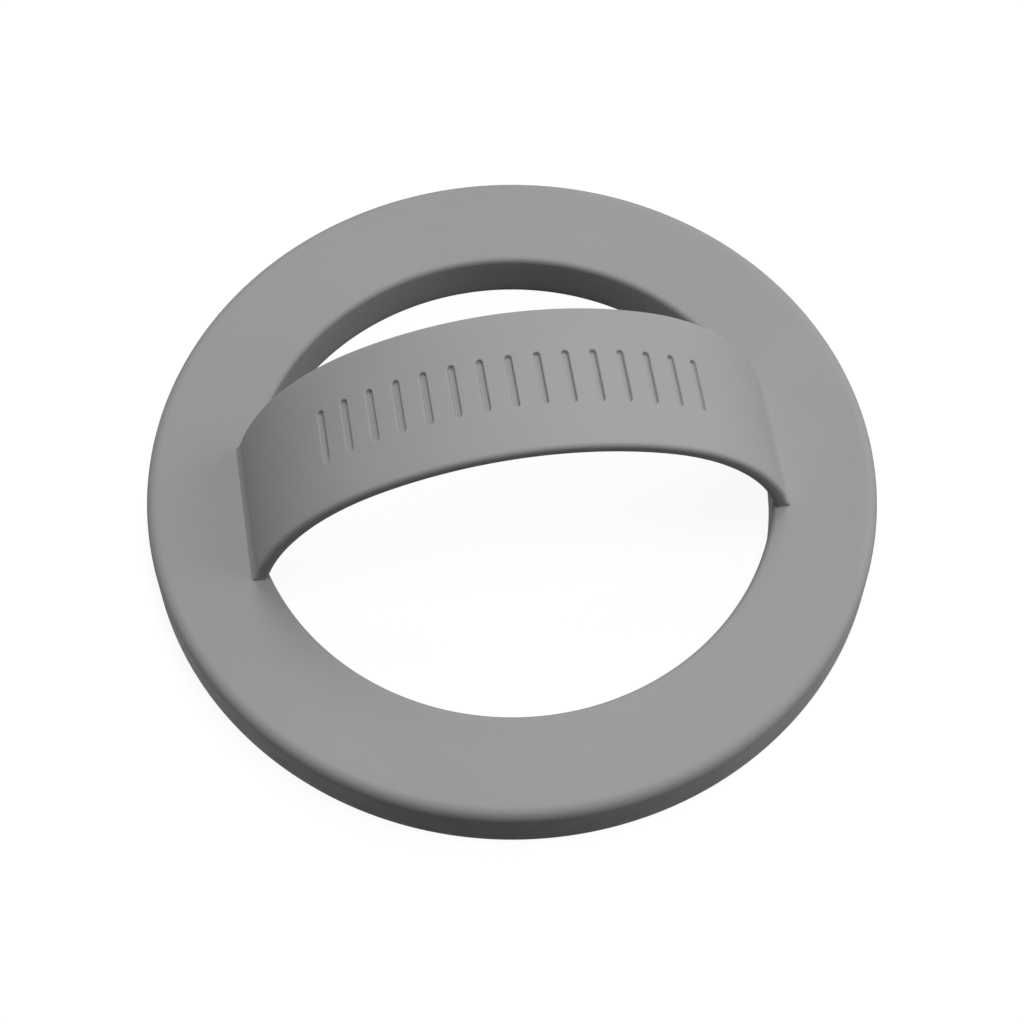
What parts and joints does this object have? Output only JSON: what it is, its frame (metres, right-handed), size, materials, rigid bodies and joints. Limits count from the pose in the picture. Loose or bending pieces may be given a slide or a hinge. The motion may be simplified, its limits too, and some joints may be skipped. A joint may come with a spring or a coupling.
{
  "type": "phone ring holder",
  "caption": "Soft flat magnetic ring with a fixed arched finger band, which holds to the back of a phone as a finger grip.",
  "frame": {"origin": "on the axis of the ring at its underside, the face that meets the phone", "axes": "+Z out of the phone, along the axis of the ring and up through the crown of the band; +X along the band, from foot to foot; +Y across the band"},
  "size_m": [0.056, 0.056, 0.018],
  "materials": {
    "silicone": "smooth matte mid-grey silicone",
    "pad": "matte darker grey soft pad with a fine grain",
    "cage_plastic": "black moulded plastic, fine spark texture",
    "steel": "bright rolled strip steel",
    "magnet": "satin nickel plate",
    "film": "clear to milky adhesive film"
  },
  "bodies": {
    "root": {"silicone_body": "silicone", "steel_ring": "steel", "magnet_cage": "cage_plastic", "magnet_01": "magnet", "magnet_02": "magnet", "magnet_03": "magnet", "magnet_04": "magnet", "magnet_05": "magnet", "magnet_06": "magnet", "magnet_07": "magnet", "magnet_08": "magnet", "magnet_09": "magnet", "magnet_10": "magnet", "magnet_11": "magnet", "magnet_12": "magnet", "magnet_13": "magnet", "magnet_14": "magnet", "magnet_15": "magnet", "magnet_16": "magnet", "adhesive_film": "film", "contact_pad": "pad"}
  },
  "joints": []
}
